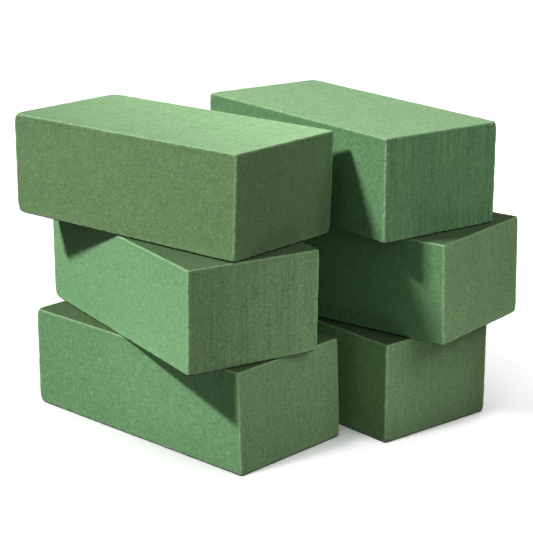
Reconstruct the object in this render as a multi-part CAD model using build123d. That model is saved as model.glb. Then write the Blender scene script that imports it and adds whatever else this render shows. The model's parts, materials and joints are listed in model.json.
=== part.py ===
from build123d import *

import math
import os
from dataclasses import dataclass

# Floral foam bricks in a loose stack: two columns of three, held by nothing but their own weight.
# Each brick is one solid block of green open-cell foam, sawn from a larger block.
# It has no skin, core, fixing or filling, so one solid is the whole of it.
#
# Units are millimetres and degrees. +Z is up and the table is z = 0.
# The sawn ends of the bricks face -Y, with one column on the left and the other on the right.
# The origin is the centre of the left bottom brick's underside, and that brick lies square to the axes.

# The brick, which every block in the stack shares
BRICK_LENGTH = 230.0
BRICK_WIDTH = 110.0
BRICK_HEIGHT = 80.0
EDGE_RADIUS = 1.0  # the crumbled edges round the top and the underside
CORNER_RADIUS = 0.8  # the crumbled edges that stand upright

# The slot between the columns, along X where two bricks come closest
COLUMN_GAP = 1.0


@dataclass
class Brick:
    """Where one brick lies, and how far its sawn faces are out of square."""

    name: str
    column: str
    level: int  # 0 rests on the table
    x: float  # its centre, from its column's middle line
    y: float
    turn: float  # about Z, anticlockwise from above
    side_lean: float = 0.0  # how far the top of both long sides stands over towards +X
    end_lean: float = 0.0  # how far the top of the end at -Y stands out past its foot


BRICKS = [
    Brick("left_bottom_brick", "left", level=0, x=0.0, y=0.0, turn=0.0, end_lean=-3.5),
    Brick("left_middle_brick", "left", level=1, x=-1.5, y=4.0, turn=-15.8, end_lean=2.0),
    Brick("left_top_brick", "left", level=2, x=-2.0, y=12.5, turn=2.6, end_lean=3.0),
    Brick("right_bottom_brick", "right", level=0, x=-1.0, y=-43.5, turn=-7.4),
    Brick("right_middle_brick", "right", level=1, x=0.0, y=-64.0, turn=5.5, side_lean=-3.0),
    Brick("right_top_brick", "right", level=2, x=0.0, y=-48.0, turn=-11.0),
]


def prism(plane, outline, reach):
    """A straight-sided solid with this outline, reaching equally far to both sides of the plane."""
    return extrude(plane * Polygon(*outline, align=None), amount=reach, both=True)


def foam_block(side_lean, end_lean):
    """One brick on its own: length along Y, standing on z = 0, with the Z axis through its middle."""
    half_length = BRICK_LENGTH / 2
    half_width = BRICK_WIDTH / 2
    seen_from_the_end = [
        (-half_width, 0),
        (half_width, 0),
        (half_width + side_lean, BRICK_HEIGHT),
        (-half_width + side_lean, BRICK_HEIGHT),
    ]
    seen_from_the_side = [
        (-half_length, 0),
        (half_length, 0),
        (half_length, BRICK_HEIGHT),
        (-half_length - end_lean, BRICK_HEIGHT),
    ]
    reach = BRICK_LENGTH + BRICK_WIDTH
    block = prism(Plane.XZ, seen_from_the_end, reach) & prism(Plane.YZ, seen_from_the_side, reach)

    upright_edges = block.edges().filter_by_position(Axis.Z, BRICK_HEIGHT / 4, BRICK_HEIGHT * 3 / 4)
    block = fillet(upright_edges, CORNER_RADIUS)
    level_faces = block.faces().filter_by(Axis.Z)
    rims = [edge for face in level_faces for edge in face.edges()]
    return fillet(rims, EDGE_RADIUS)


def outlines(brick, column_x):
    """The corners of the brick's underside and of its top where it lies, each a list of (x, y)."""
    cos_turn = math.cos(math.radians(brick.turn))
    sin_turn = math.sin(math.radians(brick.turn))
    found = []
    for side_lean, end_lean in ((0.0, 0.0), (brick.side_lean, brick.end_lean)):
        left = -BRICK_WIDTH / 2 + side_lean
        right = BRICK_WIDTH / 2 + side_lean
        near = -BRICK_LENGTH / 2 - end_lean
        far = BRICK_LENGTH / 2
        square = [(left, near), (right, near), (right, far), (left, far)]
        found.append(
            [
                (
                    column_x + brick.x + cos_turn * x - sin_turn * y,
                    brick.y + sin_turn * x + cos_turn * y,
                )
                for x, y in square
            ]
        )
    return found


def x_at(outline, y, pick):
    """Where the outline's left side (pick is min) or right side (pick is max) crosses the line at y."""
    crossings = [
        x0 + (x1 - x0) * (y - y0) / (y1 - y0)
        for (x0, y0), (x1, y1) in zip(outline, outline[1:] + outline[:1])
        if y0 != y1 and min(y0, y1) <= y <= max(y0, y1)
    ]
    return pick(crossings)


def room_between(left_outline, right_outline):
    """How far the right outline can move towards -X before it meets the left one."""
    corners = left_outline + right_outline
    lowest = max(min(y for _, y in left_outline), min(y for _, y in right_outline))
    highest = min(max(y for _, y in left_outline), max(y for _, y in right_outline))
    levels = [y for _, y in corners if lowest <= y <= highest]
    return min(x_at(right_outline, y, min) - x_at(left_outline, y, max) for y in levels)


def right_column_x():
    """The right column's middle line: as near the left column as COLUMN_GAP lets it stand."""
    left_bricks = [brick for brick in BRICKS if brick.column == "left"]
    right_bricks = [brick for brick in BRICKS if brick.column == "right"]
    far_away = 2 * BRICK_LENGTH
    room = min(
        room_between(left_outline, right_outline)
        for left in left_bricks
        for right in right_bricks
        if left.level == right.level
        for left_outline, right_outline in zip(outlines(left, 0.0), outlines(right, far_away))
    )
    return far_away - room + COLUMN_GAP


def main():
    os.makedirs("parts", exist_ok=True)
    column_x = {"left": 0.0, "right": right_column_x()}
    for brick in BRICKS:
        centre = (column_x[brick.column] + brick.x, brick.y, brick.level * BRICK_HEIGHT)
        block = foam_block(brick.side_lean, brick.end_lean)
        block = Location(centre, (0, 0, brick.turn)) * block
        export_step(block, f"parts/{brick.name}.step")
        print(brick.name, "stands at", [round(value, 2) for value in centre])


main()
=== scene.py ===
import itertools
import json
import math

import bmesh
import bpy
import numpy as np
from mathutils import Matrix, Vector


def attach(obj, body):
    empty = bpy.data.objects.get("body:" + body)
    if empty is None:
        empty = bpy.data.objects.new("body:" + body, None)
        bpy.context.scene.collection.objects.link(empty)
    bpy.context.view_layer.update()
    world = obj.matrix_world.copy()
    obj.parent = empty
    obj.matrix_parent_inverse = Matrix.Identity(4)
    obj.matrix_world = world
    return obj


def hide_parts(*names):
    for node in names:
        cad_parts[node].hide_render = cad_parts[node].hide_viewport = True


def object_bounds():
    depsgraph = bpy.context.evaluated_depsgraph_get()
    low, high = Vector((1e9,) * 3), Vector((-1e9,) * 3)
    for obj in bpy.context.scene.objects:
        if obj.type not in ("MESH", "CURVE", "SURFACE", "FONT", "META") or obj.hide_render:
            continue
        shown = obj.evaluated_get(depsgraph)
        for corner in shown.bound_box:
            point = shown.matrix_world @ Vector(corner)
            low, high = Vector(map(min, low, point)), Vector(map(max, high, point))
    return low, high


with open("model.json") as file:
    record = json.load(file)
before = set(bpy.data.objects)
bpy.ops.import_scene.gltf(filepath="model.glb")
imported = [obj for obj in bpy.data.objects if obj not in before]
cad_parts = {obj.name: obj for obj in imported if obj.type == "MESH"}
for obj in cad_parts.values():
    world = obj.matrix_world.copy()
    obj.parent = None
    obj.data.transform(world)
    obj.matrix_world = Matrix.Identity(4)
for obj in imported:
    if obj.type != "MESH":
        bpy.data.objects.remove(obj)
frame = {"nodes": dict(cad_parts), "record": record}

# The looks of the foam bricks. Each CAD brick is replaced by a finely gridded one of its size, in its place.
# Crumbled edges, knocked corners, saw marks and pits are geometry. The fine grain is a procedural material.
# Lengths are in metres. In a brick's own frame its width is along X, its length along Y and its middle at 0.

CAD_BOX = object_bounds()
MM = 0.001

# The grid that a brick's surface is built on: fine in a band along the edges, coarser inside it
FACE_STEP = 1.25 * MM
EDGE_STEP = 0.5 * MM
EDGE_BAND = 3.5 * MM

# The worn radius of the upright edges, of the edges round the top and of those round the underside
UPRIGHT_ROUNDING = 0.95 * MM
TOP_ROUNDING = 1.1 * MM
FOOT_ROUNDING = 1.7 * MM
ROUNDING_VARIES, ROUNDING_PATCH = 0.25 * MM, 11 * MM
LEAST_ROUNDING = 0.85 * MM
UPRIGHT_BEGINS = (2 * MM, 9 * MM)  # how far from the top or underside an edge becomes an upright one

# How much rounder the corners are knocked: the far ones, the near right ones and the near left ones
FAR_CORNER_KNOCK = 2.4 * MM
NEAR_RIGHT_CORNER_KNOCK = 1.3 * MM
NEAR_LEFT_CORNER_KNOCK = 0.2 * MM
CORNER_REACH = 5 * MM
KNOCK_VARIES = (0.5, 1.0)

# Relief, all of it cut inwards from the CAD faces
FACE_WAVE = 0.2 * MM
WAVE_FROM_EDGE = 6 * MM
CRUMBLE_DEPTH = 0.45 * MM
CRUMBLE_REACH = 1.6 * MM
CRUMBLE_RANGE = (-0.1, 0.8)  # of the noise, from sound edge to crumbled edge
SAW_DEPTH = 0.16 * MM
SAW_BAND_SHARE = 0.6
TOP_SAW_SHARE = 0.35
CELL_DEPTH = 0.06 * MM
PITS_PER_BRICK = 60
PIT_CHANCES = (0.45, 0.2, 0.35)  # of a pit in a long side, in an end, and in the top or underside
PIT_RADII = (0.9 * MM, 2.0 * MM)
PIT_DEPTHS = (0.2 * MM, 0.5 * MM)

# Foam colours, linear: most long sides are mint, and most ends and tops more olive
MINT = (0.177, 0.370, 0.167)
OLIVE = (0.216, 0.370, 0.170)
PALE_OLIVE = (0.213, 0.370, 0.180)
YELLOWER = (0.210, 0.370, 0.155)

# The pale colour of the crumbled edges, and the share of the foam's own colour that it covers
RIM = (0.50, 0.80, 0.42)
UPRIGHT_RIM_COVER = 1.0
TOP_RIM_COVER = 0.7
TOP_RIM_DEPTHS = (1 * MM, 4 * MM)  # how far below the top its share gives way to the upright edges'
LEVEL_RIM_SHARE = 0.15  # of either share, what is left where the surface is level
RIM_REACH = 1.2 * MM

# Where the pale rim ends and the underside's painted shade begins, by how far down a surface faces: 0 is
# upright and 1 is level
RIM_ENDS = (0.2, 0.6)
UNDER_SHADE_BEGINS = (0.15, 0.65)

# The size of the features in each noise of the relief, along X, Y and Z where they are drawn out into lines
CRUMBLE_SIZE = 3.2 * MM
SAW_LINE_SIZE = (2.6 * MM, 1.0, 0.12)
SAW_BAND_SIZE = (11 * MM, 1.0, 0.25)
TOP_LINE_SIZE = (0.2, 4.5 * MM, 1.0)
WAVE_SIZE = 70 * MM
CELL_SIZE = 2.6 * MM

# The size of the faint patches of colour, and how far they lighten and darken the foam
PATCH_SIZE, PATCH_LIGHT = 45 * MM, 0.035
END_PATCH_SIZE, END_PATCH_LIGHT = (9 * MM, 1.0, 0.3), 0.03
TOP_PATCH_SIZE, TOP_PATCH_LIGHT = (0.12, 10 * MM, 1.0), 0.025
RIM_PATCH_SIZE = 3 * MM

# Each noise on a brick has its own seed, this far above the brick's
CORNER_SEED = 7
CRUMBLE_SEED = 10
SAW_LINE_SEED, SAW_BAND_SEED, TOP_LINE_SEED = 20, 23, 26
WAVE_SEED = 30
CELL_SEED = 40
PIT_SEED = 50
PATCH_SEED, END_PATCH_SEED, TOP_PATCH_SEED = 60, 63, 66
RIM_SEED = 70
NEXT_BRICK_SEED = 100

# How far a brick's grain is moved for each step of its seed, so that no two bricks have the same grain
GRAIN_APART = 7.3 * MM

# The material's noises: how many features to a metre, and by how much they darken and lighten the foam
GRAIN_SCALE, GRAIN_LIGHT = 620, (0.76, 1.24)
COARSE_SCALE, COARSE_LIGHT = 190, (0.93, 1.07)
CELL_SCALE, CELL_LIGHT = 950, (0.86, 1.05)
FLECK_SCALE, PALE_FLECK, DARK_FLECK = 430, 0.35, 0.28
STREAK_SCALE, STREAK_LIGHT = (640, 60, 16), 0.16
BUMP_STRENGTH, BUMP_DEPTH = 0.55, 0.25 * MM


def shade(colour, factor):
    return tuple(factor * part for part in colour)


# Painted shade: a top that lies under another brick is painted darker than one in the open, and an underside
# darker still
COVERED_TOP_SHADE = shade(YELLOWER, 0.35)
UNDERSIDE_SHADE = shade(OLIVE, 0.15)


class Look:
    """The colours of one brick's faces, and how strong its saw marks are. Its ends are painted paler towards
    the right, and its top paler towards the near right, as painted light and shade; the last two arguments
    say how much."""

    def __init__(self, side, near_end, top, saw, painted_end_light=0.0, painted_top_light=0.0):
        self.side = side
        self.near_end = near_end
        self.far_end = OLIVE
        self.top = top
        # Painted shade: the underside and the foot's rounding are painted dark
        self.under = UNDERSIDE_SHADE
        self.saw = saw
        self.painted_end_light = painted_end_light
        self.painted_top_light = painted_top_light


LOOKS = {
    "left_bottom_brick": Look(
        side=shade(MINT, 1.10),
        near_end=shade(OLIVE, 1.28),
        top=COVERED_TOP_SHADE,
        saw=0.6,
    ),
    "left_middle_brick": Look(
        side=shade(MINT, 1.29),
        near_end=shade(OLIVE, 1.26),
        top=COVERED_TOP_SHADE,
        saw=1.15,
        painted_end_light=0.12,
    ),
    "left_top_brick": Look(
        side=shade(YELLOWER, 0.86),
        near_end=shade(OLIVE, 0.68),
        top=shade(PALE_OLIVE, 1.19),
        saw=0.5,
        painted_top_light=0.30,
    ),
    "right_bottom_brick": Look(
        side=shade(YELLOWER, 1.36),
        near_end=OLIVE,
        # Painted shade: this covered top is painted darker still
        top=shade(COVERED_TOP_SHADE, 0.8),
        saw=0.6,
        painted_end_light=-0.28,
    ),
    "right_middle_brick": Look(
        side=shade(MINT, 0.94),
        near_end=shade(OLIVE, 1.2),
        top=COVERED_TOP_SHADE,
        saw=0.6,
    ),
    "right_top_brick": Look(
        side=shade(MINT, 0.88),
        near_end=shade(MINT, 1.01),
        top=shade(PALE_OLIVE, 1.10),
        saw=1.6,
        painted_top_light=-0.06,
    ),
}


# ---------------------------------------------------------------- noise

# Large odd numbers that scramble a lattice cell, a seed and the key made of them
CELL_MIXERS = (0x9E3779B97F4A7C15, 0xC2B2AE3D27D4EB4F, 0x165667B19E3779F9)
SEED_MIXER = 0xD6E8FEB86659FD93
KEY_MIXER = 0xBF58476D1CE4E5B9


def lattice_value(cell, seed):
    """A fixed random number from -1 to 1 for each lattice cell, a row of three whole numbers."""
    key = np.full(len(cell), seed * SEED_MIXER % 2**64, dtype=np.uint64)
    for axis, mixer in enumerate(CELL_MIXERS):
        key ^= cell[:, axis].astype(np.uint64) * np.uint64(mixer)
    key ^= key >> np.uint64(31)
    key *= np.uint64(KEY_MIXER)
    key ^= key >> np.uint64(29)
    return (key >> np.uint64(11)).astype(float) / 2.0**52 - 1.0


def noise(points, size, seed):
    """Smooth noise from -1 to 1 at each point. Its features have one size, or one for each axis."""
    q = points / np.asarray(size)
    cell = np.floor(q).astype(np.int64)
    part = q - cell
    ease = part**3 * (part * (part * 6 - 15) + 10)
    total = np.zeros(len(points))
    for corner in itertools.product((0, 1), repeat=3):
        weight = np.prod(np.where(np.array(corner) == 1, ease, 1 - ease), axis=1)
        total += weight * lattice_value(cell + corner, seed)
    return total


def layered(points, size, seed, layers=3):
    """Noise with finer and fainter noise on top of it."""
    size = np.asarray(size, dtype=float)
    total = sum(noise(points, size / 2**n, seed + n) / 2**n for n in range(layers))
    return total / sum(1 / 2**n for n in range(layers))


def smooth_step(value, low, high):
    """0 up to low, 1 from high on, and a smooth rise between."""
    t = np.clip((value - low) / (high - low), 0, 1)
    return t * t * (3 - 2 * t)


# ---------------------------------------------------------------- where one CAD brick lies

def main_planes(node, yaw):
    """The six big faces of a CAD brick in its own frame, as {(axis, side): (normal, offset)}."""
    turn = np.array(Matrix.Rotation(-yaw, 3, "Z"))
    mesh = node.data
    planes = {}
    largest = {}
    for polygon in mesh.polygons:
        normal = turn @ np.array(polygon.normal)
        axis = int(np.argmax(np.abs(normal)))
        key = (axis, int(np.sign(normal[axis])))
        if abs(normal[axis]) > 0.99 and polygon.area > largest.get(key, 0.0):
            largest[key] = polygon.area
            planes[key] = (normal, float(normal @ (turn @ np.array(polygon.center))))
    return planes


def brick_yaw(node):
    """The angle about Z from the stack's X axis to the brick's width, from its largest upright face."""
    upright = [p for p in node.data.polygons if abs(p.normal.z) < 0.1]
    side = max(upright, key=lambda p: p.area)
    angle = math.atan2(side.normal.y, side.normal.x)
    return (angle + math.pi / 2) % math.pi - math.pi / 2


def hexahedron(planes):
    """The corners where the big faces would meet, indexed by side of X, of Y and of Z."""
    corners = np.zeros((2, 2, 2, 3))
    for i, j, k in itertools.product((0, 1), repeat=3):
        normals, offsets = zip(*(planes[(axis, 2 * side - 1)] for axis, side in enumerate((i, j, k))))
        corners[i, j, k] = np.linalg.solve(normals, offsets)
    return corners


def face_middle(corners, axis, side):
    """The middle of one face of the hexahedron with these corners."""
    return np.take(corners, side, axis=axis).reshape(-1, 3).mean(axis=0)


def half_size(corners):
    """Half the width, length and height, measured between the middles of opposite faces."""
    spans = [face_middle(corners, axis, 1) - face_middle(corners, axis, 0) for axis in range(3)]
    return np.diag(spans) / 2


def warp(points, half, corners):
    """Points of a square block, moved to where they lie in one whose faces are a little out of square."""
    part = points / (2 * half) + 0.5
    moved = np.zeros_like(points)
    for i, j, k in itertools.product((0, 1), repeat=3):
        weight = np.ones(len(points))
        for axis, side in enumerate((i, j, k)):
            weight *= part[:, axis] if side else 1 - part[:, axis]
        moved += weight[:, None] * corners[i, j, k]
    return moved


# ---------------------------------------------------------------- one brick's shape

def grid_lines(length):
    """Places along one side of a brick: close together near both ends and wider apart between."""
    near_end = np.arange(0, EDGE_BAND, EDGE_STEP)
    between = length - 2 * EDGE_BAND
    middle = np.linspace(EDGE_BAND, length - EDGE_BAND, round(between / FACE_STEP) + 1)
    return np.concatenate([near_end, middle, length - near_end[::-1]]) - length / 2


def box_surface(half):
    """A square block's surface as points and four-cornered faces, which share their points at its edges."""
    lines = [grid_lines(2 * h) for h in half]
    counts = [len(line) for line in lines]
    found = []
    for axis, side in itertools.product(range(3), (0, 1)):
        u, v = (axis + 1) % 3, (axis + 2) % 3
        iu, iv = np.meshgrid(np.arange(counts[u] - 1), np.arange(counts[v] - 1), indexing="ij")
        ring = [(0, 0), (1, 0), (1, 1), (0, 1)] if side else [(0, 0), (0, 1), (1, 1), (1, 0)]
        quads = []
        for du, dv in ring:
            index = [None, None, None]
            index[axis] = np.full(iu.size, side * (counts[axis] - 1))
            index[u] = (iu + du).ravel()
            index[v] = (iv + dv).ravel()
            quads.append((index[0] * counts[1] + index[1]) * counts[2] + index[2])
        found.append(np.stack(quads, axis=1))
    faces = np.concatenate(found)
    used, faces = np.unique(faces, return_inverse=True)
    faces = faces.reshape(-1, 4)
    index = (used // (counts[1] * counts[2]), used // counts[2] % counts[1], used % counts[2])
    points = np.stack([line[i] for line, i in zip(lines, index)], axis=1)
    return points, faces


def edge_distance(points, half):
    """How far each point of the block's surface is from the nearest edge."""
    return np.sort(half - np.abs(points), axis=1)[:, 1]


def edge_rounding(sharp, half, seed):
    """The radius that the edges near each point are worn to: least on the upright edges, more at corners."""
    rng = np.random.default_rng(seed + CORNER_SEED)
    level = np.where(sharp[:, 2] > 0, TOP_ROUNDING, FOOT_ROUNDING)
    upright = smooth_step(half[2] - np.abs(sharp[:, 2]), *UPRIGHT_BEGINS)
    radius = level + (UPRIGHT_ROUNDING - level) * upright
    radius += ROUNDING_VARIES * layered(sharp, ROUNDING_PATCH, seed)
    for sides in itertools.product((-1, 1), repeat=3):
        near_knock = NEAR_LEFT_CORNER_KNOCK if sides[0] < 0 else NEAR_RIGHT_CORNER_KNOCK
        knock = (near_knock if sides[1] < 0 else FAR_CORNER_KNOCK) * rng.uniform(*KNOCK_VARIES)
        away = np.linalg.norm(sharp - half * np.array(sides), axis=1)
        radius += knock * np.exp(-((away / CORNER_REACH) ** 2))
    return np.maximum(radius, LEAST_ROUNDING)


def rounded_block(sharp, half, seed):
    """The block's surface with worn edges, and the way outward at each of its points."""
    rounding = edge_rounding(sharp, half, seed)[:, None]
    core = np.clip(sharp, -(half - rounding), half - rounding)
    outward = sharp - core
    outward /= np.linalg.norm(outward, axis=1)[:, None]
    return core + rounding * outward, outward


def pit_depth(sharp, half, seed):
    """Round dents and torn cells scattered over the faces."""
    rng = np.random.default_rng(seed)
    depth = np.zeros(len(sharp))
    for _ in range(PITS_PER_BRICK):
        axis = rng.choice(3, p=PIT_CHANCES)
        centre = rng.uniform(-1, 1, 3) * half
        centre[axis] = half[axis] * rng.choice([-1, 1])
        radius = rng.uniform(*PIT_RADII)
        deepest = rng.uniform(*PIT_DEPTHS)
        gap = np.linalg.norm(sharp - centre, axis=1) / radius
        depth = np.maximum(depth, deepest * np.clip(1 - gap**2, 0, 1))
    return depth


def relief_depth(sharp, half, outward, saw, seed):
    """How far each point is cut in from the block: by waves, crumbled edges, saw marks, cells and pits."""
    on_end, on_top = outward[:, 1] ** 2, outward[:, 2] ** 2
    to_edge = edge_distance(sharp, half)
    near_edge = np.exp(-((to_edge / CRUMBLE_REACH) ** 2))
    crumble = smooth_step(layered(sharp, CRUMBLE_SIZE, seed + CRUMBLE_SEED), *CRUMBLE_RANGE)
    saw_lines = layered(sharp, SAW_LINE_SIZE, seed + SAW_LINE_SEED)
    saw_lines += SAW_BAND_SHARE * noise(sharp, SAW_BAND_SIZE, seed + SAW_BAND_SEED)
    top_lines = layered(sharp, TOP_LINE_SIZE, seed + TOP_LINE_SEED)
    wave = 1 + noise(sharp, WAVE_SIZE, seed + WAVE_SEED)
    depth = FACE_WAVE * wave * smooth_step(to_edge, 0, WAVE_FROM_EDGE)
    depth += CRUMBLE_DEPTH * near_edge * crumble
    depth += SAW_DEPTH * saw * on_end * (0.5 + 0.5 * saw_lines)
    depth += TOP_SAW_SHARE * SAW_DEPTH * on_top * (0.5 + 0.5 * top_lines)
    depth += CELL_DEPTH * (1 + noise(sharp, CELL_SIZE, seed + CELL_SEED))
    depth += pit_depth(sharp, half, seed + PIT_SEED)
    return np.maximum(depth, 0)


# ---------------------------------------------------------------- one brick's colours

def face_colours(sharp, outward, look):
    """The colour of each point's face, blended at the edges. The underside's painted shade reaches round the
    foot, for the dark line where bricks meet.
    """
    on_side, on_end, on_top = outward.T[:, :, None] ** 2
    end_colour = np.where(sharp[:, 1:2] < 0, look.near_end, look.far_end)
    top_colour = np.where(sharp[:, 2:] > 0, look.top, look.under)
    colour = on_side * np.array(look.side) + on_end * end_colour + on_top * top_colour
    under_shade_share = smooth_step(-outward[:, 2], *UNDER_SHADE_BEGINS)[:, None]
    return colour + (np.array(look.under) - colour) * under_shade_share


def patch_and_painted_light(sharp, half, outward, look, seed):
    """Faint patches of lighter and darker foam, and painted light and shade: a fade across an end or a top.
    """
    on_end, on_top = outward[:, 1] ** 2, outward[:, 2] ** 2
    across, along = sharp[:, 0] / half[0], sharp[:, 1] / half[1]
    light = 1 + PATCH_LIGHT * layered(sharp, PATCH_SIZE, seed + PATCH_SEED)
    light += END_PATCH_LIGHT * on_end * noise(sharp, END_PATCH_SIZE, seed + END_PATCH_SEED)
    light += TOP_PATCH_LIGHT * on_top * noise(sharp, TOP_PATCH_SIZE, seed + TOP_PATCH_SEED)
    # Painted light and shade: ends and tops fade lighter or darker across the face
    return light + look.painted_end_light * on_end * across + look.painted_top_light * on_top * (across - along) / 2


def rim_cover(sharp, half, outward, seed):
    """The share of the foam's colour that the pale rim covers: little on the top, and none underneath."""
    to_edge = edge_distance(sharp, half)
    below_top = smooth_step(half[2] - sharp[:, 2], *TOP_RIM_DEPTHS)
    cover = np.exp(-((to_edge / RIM_REACH) ** 2))
    cover *= 0.8 + 0.3 * noise(sharp, RIM_PATCH_SIZE, seed + RIM_SEED)
    cover *= TOP_RIM_COVER + (UPRIGHT_RIM_COVER - TOP_RIM_COVER) * below_top
    cover *= 1 - (1 - LEVEL_RIM_SHARE) * outward[:, 2] ** 2
    cover *= 1 - smooth_step(-outward[:, 2], *RIM_ENDS)
    return np.clip(cover, 0, 1)


def foam_colours(sharp, half, outward, look, seed):
    """The foam's colour at each point of a brick."""
    colour = face_colours(sharp, outward, look) * patch_and_painted_light(sharp, half, outward, look, seed)[:, None]
    return colour + (np.array(RIM) - colour) * rim_cover(sharp, half, outward, seed)[:, None]


# ---------------------------------------------------------------- one brick

def build_mesh(name, points, faces):
    """A smooth-shaded mesh of these points and four-cornered faces."""
    mesh = bpy.data.meshes.new(name)
    mesh.vertices.add(len(points))
    mesh.vertices.foreach_set("co", points.ravel())
    mesh.loops.add(faces.size)
    mesh.loops.foreach_set("vertex_index", faces.ravel())
    mesh.polygons.add(len(faces))
    mesh.polygons.foreach_set("loop_start", np.arange(0, faces.size, 4))
    mesh.update(calc_edges=True)
    mesh.polygons.foreach_set("use_smooth", np.ones(len(faces), dtype=bool))
    return mesh


def keep_at_points(mesh, name, kind, field, values):
    """Give every point of the mesh a value for its material to read."""
    attribute = mesh.attributes.new(name, kind, "POINT")
    attribute.data.foreach_set(field, values.ravel())


def make_brick(node_name, body, seed):
    """The detailed brick that stands for one CAD brick."""
    node = frame["nodes"][node_name]
    look = LOOKS[node_name]
    yaw = brick_yaw(node)
    corners = hexahedron(main_planes(node, yaw))
    foot = face_middle(corners, 2, 0)
    corners = corners - foot
    half = half_size(corners)

    sharp, faces = box_surface(half)
    points, outward = rounded_block(sharp, half, seed)
    points = points - relief_depth(sharp, half, outward, look.saw, seed)[:, None] * outward
    lying = (warp(points, half, corners) + foot) @ np.array(Matrix.Rotation(yaw, 3, "Z")).T
    mesh = build_mesh(f"{node_name}_foam", lying, faces)

    colour = foam_colours(sharp, half, outward, look, seed)
    opaque = np.ones((len(colour), 1))
    keep_at_points(mesh, "tone", "FLOAT_COLOR", "color", np.concatenate([colour, opaque], axis=1))
    keep_at_points(mesh, "place", "FLOAT_VECTOR", "vector", sharp + seed * GRAIN_APART)
    keep_at_points(mesh, "sawn", "FLOAT", "value", look.saw * outward[:, 1] ** 2)
    mesh.update()

    piece = bpy.data.objects.new(f"{node_name}_foam", mesh)
    bpy.context.scene.collection.objects.link(piece)
    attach(piece, body)
    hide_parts(node_name)
    return piece


# ---------------------------------------------------------------- materials

def add_node(tree, kind, **settings):
    """A new shader node, with its properties and its inputs' values set by name."""
    made = tree.nodes.new(kind)
    for name, value in settings.items():
        if hasattr(made, name):
            setattr(made, name, value)
        else:
            made.inputs[name.replace("_", " ").title()].default_value = value
    return made


def foam_material(name):
    """Dry open-cell foam: matt, with fine pores, pale and dark flecks, and streaks where it was sawn."""
    material = bpy.data.materials.new(name)
    material.use_nodes = True
    tree = material.node_tree
    link = tree.links.new
    shader = tree.nodes["Principled BSDF"]
    shader.inputs["Roughness"].default_value = 0.93
    shader.inputs["Specular IOR Level"].default_value = 0.12
    shader.inputs["Sheen Weight"].default_value = 0.06
    shader.inputs["Sheen Roughness"].default_value = 0.6

    place = add_node(tree, "ShaderNodeAttribute", attribute_name="place").outputs["Vector"]
    tone = add_node(tree, "ShaderNodeAttribute", attribute_name="tone").outputs["Color"]
    sawn = add_node(tree, "ShaderNodeAttribute", attribute_name="sawn").outputs["Fac"]

    def textured(kind, output, scale, stretch=(1, 1, 1), **settings):
        mapping = add_node(tree, "ShaderNodeMapping")
        mapping.inputs["Scale"].default_value = stretch
        link(place, mapping.inputs["Vector"])
        texture = add_node(tree, kind, **settings)
        texture.inputs["Scale"].default_value = scale
        link(mapping.outputs["Vector"], texture.inputs["Vector"])
        return texture.outputs[output]

    def fitted(value, low, high, to_low, to_high):
        range_node = add_node(tree, "ShaderNodeMapRange")
        limits = {"From Min": low, "From Max": high, "To Min": to_low, "To Max": to_high}
        for socket, number in limits.items():
            range_node.inputs[socket].default_value = number
        link(value, range_node.inputs["Value"])
        return range_node.outputs["Result"]

    def maths(operation, first, second):
        node = add_node(tree, "ShaderNodeMath", operation=operation)
        for socket, value in zip(node.inputs, (first, second)):
            if isinstance(value, (int, float)):
                socket.default_value = value
            else:
                link(value, socket)
        return node.outputs[0]

    noise_kind = "ShaderNodeTexNoise"
    grain = textured(noise_kind, "Fac", GRAIN_SCALE, detail=3.0, roughness=0.65)
    coarse = textured(noise_kind, "Fac", COARSE_SCALE, detail=2.0, roughness=0.5)
    cells = textured("ShaderNodeTexVoronoi", "Distance", CELL_SCALE)
    fleck_field = textured(noise_kind, "Fac", FLECK_SCALE, detail=1.0, roughness=0.5)
    streak_field = textured(noise_kind, "Fac", 1.0, stretch=STREAK_SCALE, detail=2.0, roughness=0.6)

    light = fitted(grain, 0.25, 0.75, *GRAIN_LIGHT)
    light = maths("MULTIPLY", light, fitted(coarse, 0.3, 0.7, *COARSE_LIGHT))
    light = maths("MULTIPLY", light, fitted(cells, 0.0, 0.45, *CELL_LIGHT))
    light = maths("ADD", light, fitted(fleck_field, 0.64, 0.74, 0.0, PALE_FLECK))
    light = maths("SUBTRACT", light, fitted(fleck_field, 0.36, 0.26, 0.0, DARK_FLECK))
    streaks = maths("MULTIPLY", sawn, fitted(streak_field, 0.25, 0.75, -STREAK_LIGHT, STREAK_LIGHT))
    light = maths("ADD", light, streaks)

    scaled = add_node(tree, "ShaderNodeVectorMath", operation="SCALE")
    link(tone, scaled.inputs[0])
    link(light, scaled.inputs["Scale"])
    link(scaled.outputs["Vector"], shader.inputs["Base Color"])

    height = maths("ADD", fitted(cells, 0.0, 0.5, -0.5, 0.5), fitted(grain, 0.2, 0.8, -0.6, 0.6))
    height = maths("ADD", height, maths("MULTIPLY", sawn, fitted(streak_field, 0.2, 0.8, -0.5, 0.5)))
    bump = add_node(tree, "ShaderNodeBump")
    bump.inputs["Strength"].default_value = BUMP_STRENGTH
    bump.inputs["Distance"].default_value = BUMP_DEPTH
    link(height, bump.inputs["Height"])
    link(bump.outputs["Normal"], shader.inputs["Normal"])
    return material


def plain_material(name, colour, emission=0.0):
    material = bpy.data.materials.new(name)
    material.use_nodes = True
    shader = material.node_tree.nodes["Principled BSDF"]
    shader.inputs["Base Color"].default_value = (*colour, 1)
    shader.inputs["Roughness"].default_value = 0.9
    shader.inputs["Specular IOR Level"].default_value = 0.0
    if emission:
        shader.inputs["Emission Color"].default_value = (*colour, 1)
        shader.inputs["Emission Strength"].default_value = emission
    return material


# ---------------------------------------------------------------- the studio

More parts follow.
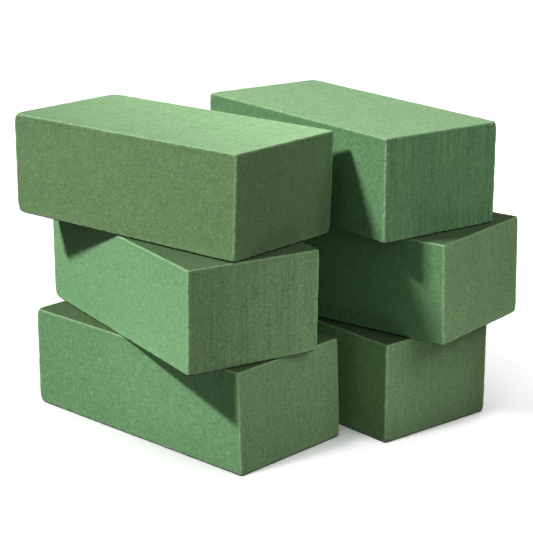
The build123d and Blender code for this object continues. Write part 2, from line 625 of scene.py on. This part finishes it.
# Azimuth and elevation are in degrees, seen from the stack. Azimuth 0 is -Y, and 270 is -X.
CAMERA_AZIMUTH, CAMERA_ELEVATION, CAMERA_DISTANCE = 313.15, 16.21, 1.341
CAMERA_LENS, CAMERA_SENSOR = 114.3, 36
AIM_FROM_CENTRE = Vector((-3.7 * MM, -5.3 * MM, 0))

STAGE_RADIUS = 12.0
FLOOR_DROP = 0.1 * MM
TABLE_WHITE = (0.8, 0.8, 0.8)

# The key is a wide, low softbox, up on the left and a little behind. Its size is as seen from the stack.
KEY_AZIMUTH, KEY_ELEVATION, KEY_DISTANCE = 238.2, 48.6, 4.5
KEY_WIDTH, KEY_HEIGHT, KEY_POWER = 0.85, 0.22, 216.0

# The other softboxes round the stack: name, azimuth, elevation and power
SOFTBOXES = (
    ("front_fill", 12, 45, 6.4),
    ("low_fill", 335, 25, 1.45),
    ("right_fill", 60, 15, 0.7),
    ("top_fill", 280, 80, 1.9),
    ("back_fill", 125, 12, 4.0),
)
SOFTBOX_DISTANCE, SOFTBOX_SIZE = 1.6, 0.9

# What the white table throws back up: name, distance out to the left and to the front, size and power
TABLE_GLOWS = (
    ("left_glow", 0.075, 0.0, 0.12, 0.0375),
    ("front_glow", 0.0, 0.13, 0.25, 0.108),
)

# Suns that light only the table: name, azimuth, elevation, softness in degrees and strength
TABLE_LIGHTS = (
    ("table_key", 258, 40, 10, 2.3),
    ("table_overhead", 0, 83, 85, 3.6),
    ("table_back", 183, 36, 28, 0.4),
    ("table_side", 90, 45, 30, 0.3),
)
SUN_DISTANCE = 2.0  # only where it stands in the scene, which changes nothing in its light

# The grey that reaches everything from all sides
AMBIENT = 0.075


def towards(azimuth, elevation):
    """The direction from the stack to this azimuth and elevation."""
    a, e = math.radians(azimuth), math.radians(elevation)
    return Vector((math.sin(a) * math.cos(e), -math.cos(a) * math.cos(e), math.sin(e)))


def add_object(name, data):
    made = bpy.data.objects.new(name, data)
    bpy.context.scene.collection.objects.link(made)
    return made


def aim(thing, centre, azimuth, elevation, distance):
    direction = towards(azimuth, elevation)
    thing.location = centre + direction * distance
    thing.rotation_mode = "QUATERNION"
    thing.rotation_quaternion = direction.to_track_quat("Z", "Y")


def add_camera(centre):
    camera = add_object("camera", bpy.data.cameras.new("camera"))
    camera.data.lens = CAMERA_LENS
    camera.data.sensor_width = CAMERA_SENSOR
    camera.data.clip_start, camera.data.clip_end = 0.05, 3 * STAGE_RADIUS
    aim(camera, centre + AIM_FROM_CENTRE, CAMERA_AZIMUTH, CAMERA_ELEVATION, CAMERA_DISTANCE)
    bpy.context.scene.camera = camera


def disc(name, radius, height):
    mesh = bpy.data.meshes.new(name)
    shape = bmesh.new()
    bmesh.ops.create_circle(shape, cap_ends=True, segments=96, radius=radius)
    bmesh.ops.translate(shape, verts=shape.verts, vec=(0, 0, height))
    shape.to_mesh(mesh)
    shape.free()
    return add_object(name, mesh)


def dome(name, radius):
    mesh = bpy.data.meshes.new(name)
    shape = bmesh.new()
    bmesh.ops.create_uvsphere(shape, u_segments=48, v_segments=24, radius=radius)
    shape.to_mesh(mesh)
    shape.free()
    return add_object(name, mesh)


def light_only(light, thing, included):
    """The light reaches only this thing, or everything but it."""
    group = bpy.data.collections.new(f"{light.name}_reach")
    group.objects.link(thing)
    group.collection_objects[0].light_linking.link_state = "INCLUDE" if included else "EXCLUDE"
    light.light_linking.receiver_collection = group


def add_sun(name, azimuth, elevation, softness, strength):
    data = bpy.data.lights.new(name, "SUN")
    data.energy = strength
    data.angle = math.radians(softness)
    sun = add_object(name, data)
    aim(sun, Vector((0, 0, 0)), azimuth, elevation, SUN_DISTANCE)
    return sun


def add_softbox(name, centre, azimuth, elevation, distance, size, power):
    data = bpy.data.lights.new(name, "AREA")
    data.size = size
    data.energy = power
    softbox = add_object(name, data)
    aim(softbox, centre, azimuth, elevation, distance)
    return softbox


def add_glow(name, centre, left, front, size, power):
    """A patch of the table that shines up at the stack. It lies this far out from the CAD box, or level with
    the middle of the box where the distance is 0."""
    data = bpy.data.lights.new(name, "AREA")
    data.size = size
    data.energy = power
    glow = add_object(name, data)
    x = CAD_BOX[0][0] - left if left else centre.x
    y = CAD_BOX[0][1] - front if front else centre.y
    glow.location = (x, y, MM)
    glow.rotation_euler = (math.pi, 0, 0)
    return glow


def add_studio(centre):
    floor = disc("floor", STAGE_RADIUS, -FLOOR_DROP)
    floor.data.materials.append(plain_material("white_table", TABLE_WHITE))
    backdrop = dome("backdrop", STAGE_RADIUS)
    backdrop.data.materials.append(plain_material("white_backdrop", (1.0, 1.0, 1.0), emission=1.0))
    floor.visible_diffuse = False
    floor.visible_glossy = False
    for ray in ("visible_diffuse", "visible_glossy", "visible_transmission", "visible_shadow"):
        setattr(backdrop, ray, False)

    key = add_softbox("key", centre, KEY_AZIMUTH, KEY_ELEVATION, KEY_DISTANCE, KEY_WIDTH, KEY_POWER)
    key.data.shape = "RECTANGLE"
    key.data.size_y = KEY_HEIGHT
    lights = [key]
    for name, azimuth, elevation, power in SOFTBOXES:
        lights.append(add_softbox(name, centre, azimuth, elevation, SOFTBOX_DISTANCE, SOFTBOX_SIZE, power))
    for name, left, front, size, power in TABLE_GLOWS:
        lights.append(add_glow(name, centre, left, front, size, power))
    for light in lights:
        light.visible_camera = False
        light_only(light, floor, included=False)
    for name, azimuth, elevation, softness, strength in TABLE_LIGHTS:
        light_only(add_sun(name, azimuth, elevation, softness, strength), floor, included=True)

    world = bpy.data.worlds.new("studio")
    bpy.context.scene.world = world
    world.use_nodes = True
    world.node_tree.nodes["Background"].inputs["Color"].default_value = (AMBIENT, AMBIENT, AMBIENT, 1)
    bpy.context.scene.view_settings.view_transform = "Standard"


# ---------------------------------------------------------------- everything

def main():
    centre = (CAD_BOX[0] + CAD_BOX[1]) / 2
    add_camera(centre)
    add_studio(centre)
    bodies = frame["record"]["behaviour"]["bodies"]
    for step, (body, nodes) in enumerate(sorted(bodies.items()), start=1):
        for node_name in nodes:
            piece = make_brick(node_name, body, step * NEXT_BRICK_SEED)
            piece.data.materials.append(foam_material(f"{node_name}_foam"))


main()
